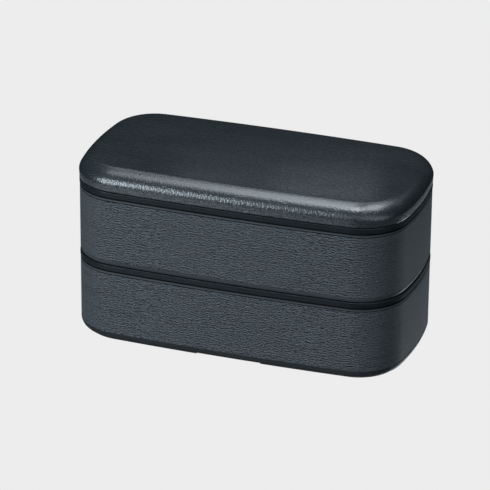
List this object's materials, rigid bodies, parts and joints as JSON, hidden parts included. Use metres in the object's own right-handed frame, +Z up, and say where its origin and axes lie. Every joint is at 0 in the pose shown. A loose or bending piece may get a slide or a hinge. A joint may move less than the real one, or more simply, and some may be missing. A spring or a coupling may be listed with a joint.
{
  "type": "bento box",
  "caption": "Stacked two-tier food box with bowed sides, round corners, gasketed inner lids, a loose divider and a pillow-edged outer cover.",
  "frame": {"origin": "centre of the box at the flat face its foot stands on", "axes": "+X along the long sides, +Y from the front long side to the back one, +Z up"},
  "size_m": [0.1806, 0.093, 0.0974],
  "materials": {
    "grained_shell": "dark grey plastic moulded with a fine horizontal grain",
    "lid_shell": "dark grey plastic with fine lines along its length and a soft gloss",
    "seal_plastic": "smooth satin black",
    "gasket_silicone": "matt dark grey silicone",
    "vent_silicone": "matt dark grey silicone",
    "divider_plastic": "satin black"
  },
  "bodies": {
    "lower_tier": {"lower_container": "grained_shell"},
    "lower_seal": {"lower_seal_lid": "seal_plastic", "lower_gasket": "gasket_silicone"},
    "lower_valve": {"lower_vent_plug": "vent_silicone"},
    "upper_tier": {"upper_container": "grained_shell"},
    "partition": {"divider": "divider_plastic"},
    "upper_seal": {"upper_seal_lid": "seal_plastic", "upper_gasket": "gasket_silicone"},
    "upper_valve": {"upper_vent_plug": "vent_silicone"},
    "cover": {"outer_lid": "lid_shell"}
  },
  "joints": [
    {"name": "lower_seal_lift", "type": "slide", "parent": "lower_tier", "child": "lower_seal", "axis": [0, 0, 1], "range_m": [0, 0.05]},
    {"name": "upper_tier_lift", "type": "slide", "parent": "lower_seal", "child": "upper_tier", "axis": [0, 0, 1], "range_m": [0, 0.05]},
    {"name": "upper_seal_lift", "type": "slide", "parent": "upper_tier", "child": "upper_seal", "axis": [0, 0, 1], "range_m": [0, 0.05]},
    {"name": "cover_lift", "type": "slide", "parent": "upper_seal", "child": "cover", "axis": [0, 0, 1], "range_m": [0, 0.05]},
    {"name": "divider_slide", "type": "slide", "parent": "upper_tier", "child": "partition", "axis": [1, 0, 0], "range_m": [-0.025, 0.025]},
    {"name": "lower_valve_lift", "type": "slide", "parent": "lower_seal", "child": "lower_valve", "axis": [0, 0, 1], "range_m": [0, 0.001]},
    {"name": "upper_valve_lift", "type": "slide", "parent": "upper_seal", "child": "upper_valve", "axis": [0, 0, 1], "range_m": [0, 0.001]}
  ]
}
